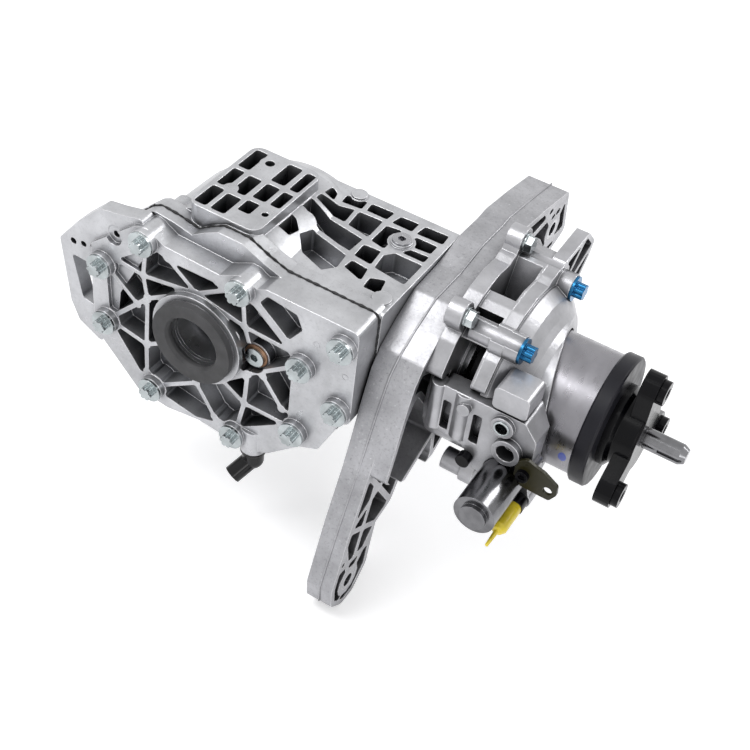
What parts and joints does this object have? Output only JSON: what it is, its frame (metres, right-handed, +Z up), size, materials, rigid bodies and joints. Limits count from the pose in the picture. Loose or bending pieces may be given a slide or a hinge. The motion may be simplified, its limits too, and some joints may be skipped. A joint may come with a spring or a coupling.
{
  "type": "rear differential",
  "caption": "Rear axle final drive in cast aluminium, with a ribbed side cover, a cross bracket, an electrically pumped clutch and a three-arm input flange.",
  "frame": {"origin": "centre of the input flange's bolt circle, in the plane of the three bosses' front faces", "axes": "+X along the input axis, out of the flange; -Y towards the ribbed side cover; +Z up"},
  "size_m": [0.5418, 0.3526, 0.314],
  "materials": {
    "cast": "as cast, satin",
    "gasket": "matt sealing bead",
    "zinc": "zinc plated",
    "copper": "dull copper ring",
    "black_plastic": "moulded, glossy",
    "seal_rubber": "moulded rubber",
    "bearing_steel": "ground",
    "gear_steel": "machined",
    "case_iron": "dark phosphate",
    "bronze": "plain",
    "friction": "friction paper",
    "plate_steel": "plain",
    "blue_coat": "blue coated",
    "drum_steel": "smooth drawn",
    "damper_black": "black ring",
    "flange_black": "black, semi-gloss",
    "pin_steel": "ground and polished",
    "motor_steel": "drawn steel",
    "plate_black": "black",
    "yellow": "moulded"
  },
  "bodies": {
    "housing": {"main_housing": "cast", "side_cover": "cast", "cover_gasket": "gasket", "cover_bolts": "zinc", "filler_plug": "zinc", "filler_washer": "copper", "breather_elbow": "black_plastic", "top_plug": "zinc", "output_seal_left": "seal_rubber", "output_seal_right": "seal_rubber", "bearing_cup_left": "bearing_steel", "bearing_cup_right": "bearing_steel", "bearing_shim": "bearing_steel", "pinion_cup_rear": "bearing_steel", "pinion_cup_front": "bearing_steel", "pinion_seal": "seal_rubber", "cross_bracket": "cast", "bracket_sleeves": "plate_steel", "coupling_housing": "cast", "coupling_bolts_blue": "blue_coat", "coupling_bolts_silver": "zinc", "drum_bearing_outer": "bearing_steel", "drum_seal": "seal_rubber", "pump_body": "cast", "port_bush": "plate_steel", "pump_motor": "motor_steel", "pump_plate": "plate_black", "pump_screws": "plate_black", "cap_collar": "black_plastic", "yellow_cap": "yellow"},
    "carrier": {"diff_case": "case_iron", "ring_gear": "gear_steel", "ring_gear_bolts": "case_iron", "cross_pin": "gear_steel", "cross_pin_lock": "gear_steel", "thrust_washers": "bronze", "bearing_cone_left": "bearing_steel", "bearing_cone_right": "bearing_steel"},
    "side_left": {"side_gear_left": "gear_steel"},
    "side_right": {"side_gear_right": "gear_steel"},
    "planet_a": {"planet_gear_a": "gear_steel"},
    "planet_b": {"planet_gear_b": "gear_steel"},
    "pinion_shaft": {"pinion": "gear_steel", "pinion_cone_rear": "bearing_steel", "pinion_spacer": "gear_steel", "pinion_cone_front": "bearing_steel", "pinion_nut": "gear_steel", "clutch_hub": "gear_steel", "clutch_plates_inner": "friction"},
    "input": {"clutch_basket": "case_iron", "clutch_drum": "drum_steel", "clutch_plates_outer": "plate_steel", "drum_bearing_inner": "bearing_steel", "damper_ring": "damper_black", "input_flange": "flange_black", "flange_inserts": "flange_black", "centring_pin": "pin_steel"},
    "piston": {"clutch_piston": "gear_steel"},
    "pump_shaft": {"pump_rotor": "gear_steel"}
  },
  "joints": [
    {"name": "input_spin", "type": "hinge", "parent": "housing", "child": "input", "pos_m": [-0.361, 0, 0], "axis": [1, 0, 0], "continuous": true},
    {"name": "carrier_spin", "type": "hinge", "parent": "housing", "child": "carrier", "pos_m": [-0.361, 0, 0], "axis": [0, 1, 0], "continuous": true},
    {"name": "pinion_spin", "type": "hinge", "parent": "housing", "child": "pinion_shaft", "pos_m": [-0.361, 0, 0], "axis": [1, 0, 0], "continuous": true},
    {"name": "side_left_spin", "type": "hinge", "parent": "carrier", "child": "side_left", "pos_m": [-0.361, 0, 0], "axis": [0, 1, 0], "continuous": true},
    {"name": "side_right_spin", "type": "hinge", "parent": "carrier", "child": "side_right", "pos_m": [-0.361, 0, 0], "axis": [0, 1, 0], "continuous": true},
    {"name": "planet_a_spin", "type": "hinge", "parent": "carrier", "child": "planet_a", "pos_m": [-0.361, 0, 0], "axis": [0, 0, 1], "continuous": true},
    {"name": "planet_b_spin", "type": "hinge", "parent": "carrier", "child": "planet_b", "pos_m": [-0.361, 0, 0], "axis": [0, 0, 1], "continuous": true},
    {"name": "piston_slide", "type": "slide", "parent": "housing", "child": "piston", "axis": [1, 0, 0], "range_m": [0, 0.0012]},
    {"name": "pump_spin", "type": "hinge", "parent": "housing", "child": "pump_shaft", "pos_m": [-0.089, 0, -0.028], "axis": [0, 1, 0], "continuous": true}
  ],
  "couplings": [
    {"joint": "pinion_spin", "follows": "carrier_spin", "ratio": 2.5833},
    {"joint": "side_right_spin", "follows": "side_left_spin", "ratio": -1},
    {"joint": "planet_a_spin", "follows": "side_left_spin", "ratio": 1.6},
    {"joint": "planet_b_spin", "follows": "side_left_spin", "ratio": -1.6}
  ]
}
